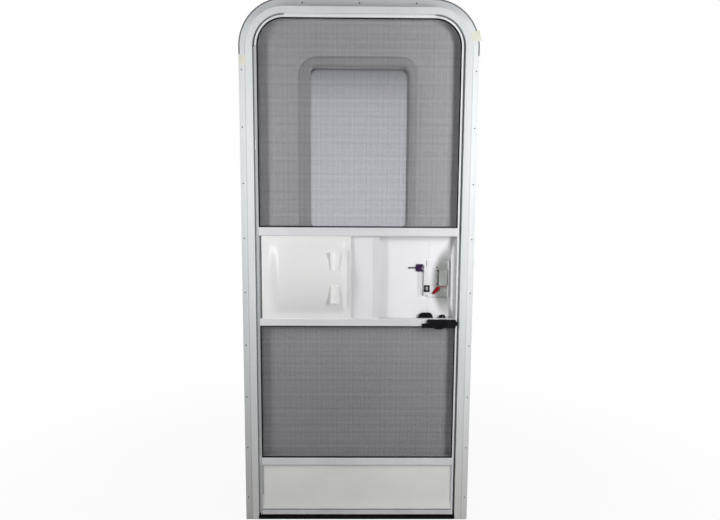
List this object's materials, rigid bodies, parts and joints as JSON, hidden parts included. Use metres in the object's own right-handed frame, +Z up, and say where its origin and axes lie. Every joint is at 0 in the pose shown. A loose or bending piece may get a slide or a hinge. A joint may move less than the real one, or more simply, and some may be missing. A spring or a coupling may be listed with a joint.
{
  "type": "caravan entry door",
  "caption": "Radius-top caravan entry door unit: flanged frame, insulated door with window and lock, and a hinged insect screen door with a sliding hatch.",
  "frame": {"origin": "bottom centre of the flange face that beds on the wall", "axes": "+X right seen from inside, +Y from the inside of the vehicle to the outside, +Z up"},
  "size_m": [0.826, 0.1045, 1.875],
  "materials": {
    "white_aluminium": "satin powder coat",
    "white_panel": "smooth moulded",
    "white_skin": "smooth",
    "kick_panel": "satin",
    "black_plastic": "moulded",
    "black_rubber": "matt",
    "mesh": "woven",
    "glass": "obscured",
    "foam": "foam",
    "grey_plastic": "moulded",
    "red_plastic": "moulded",
    "steel": "plated",
    "key_plastic": "moulded"
  },
  "bodies": {
    "frame": {"left_jamb": "white_aluminium", "right_jamb": "white_aluminium", "head_jamb": "white_aluminium", "head_corners": "white_aluminium", "sill": "white_aluminium", "threshold_strip": "black_rubber", "frame_seal": "black_rubber", "strike_plate": "steel", "hinge_frame_leaves": "white_aluminium"},
    "screen_door": {"screen_left_stile": "white_aluminium", "screen_right_stile": "white_aluminium", "screen_head_rail": "white_aluminium", "screen_corners": "white_aluminium", "screen_bottom_rail": "white_aluminium", "kick_rail": "white_aluminium", "hatch_low_rail": "white_panel", "hatch_high_rail": "white_panel", "upper_mesh": "mesh", "lower_mesh": "mesh", "mesh_cords": "black_rubber", "fixed_panel": "white_panel", "panel_edge_strip": "white_panel", "kick_panel": "kick_panel", "screen_catch_case": "black_plastic", "screen_catch_grips": "black_plastic", "screen_hinge_arms": "white_aluminium"},
    "slider": {"slider_panel": "white_panel"},
    "screen_catch": {"screen_catch_bolt": "black_plastic"},
    "entry_door": {"inner_skin": "white_skin", "outer_skin": "white_skin", "door_core": "foam", "door_left_edge": "white_aluminium", "door_right_edge": "white_aluminium", "door_head_edge": "white_aluminium", "door_edge_corners": "white_aluminium", "door_bottom_edge": "white_aluminium", "window_inner_trim": "white_panel", "window_outer_frame": "white_panel", "window_glass": "glass", "lock_pan": "white_panel", "lock_case": "white_panel", "outer_handle": "black_plastic", "door_bolt": "steel", "hinge_door_leaves": "white_aluminium", "door_key": "key_plastic"},
    "paddle": {"lock_paddle": "grey_plastic"},
    "lever": {"deadbolt_lever": "red_plastic"}
  },
  "joints": [
    {"name": "screen_swing", "type": "hinge", "parent": "frame", "child": "screen_door", "pos_m": [-0.378, 0.016, 0.9], "axis": [0, 0, 1], "range_deg": [0, 80]},
    {"name": "door_swing", "type": "hinge", "parent": "screen_door", "child": "entry_door", "pos_m": [-0.378, 0.016, 0.9], "axis": [0, 0, 1], "range_deg": [0, 90]},
    {"name": "hatch_slide", "type": "slide", "parent": "screen_door", "child": "slider", "axis": [1, 0, 0], "range_m": [0, 0.366]},
    {"name": "catch_slide", "type": "slide", "parent": "screen_door", "child": "screen_catch", "axis": [1, 0, 0], "range_m": [0, 0.012]},
    {"name": "paddle_pull", "type": "hinge", "parent": "entry_door", "child": "paddle", "pos_m": [0.3155, -0.0145, 0.92], "axis": [0, 0, 1], "range_deg": [0, 25], "stiffness_Nm_per_rad": 0.3},
    {"name": "deadbolt_turn", "type": "hinge", "parent": "entry_door", "child": "lever", "pos_m": [0.284, -0.02, 0.875], "axis": [0, 1, 0], "range_deg": [0, 90]}
  ]
}
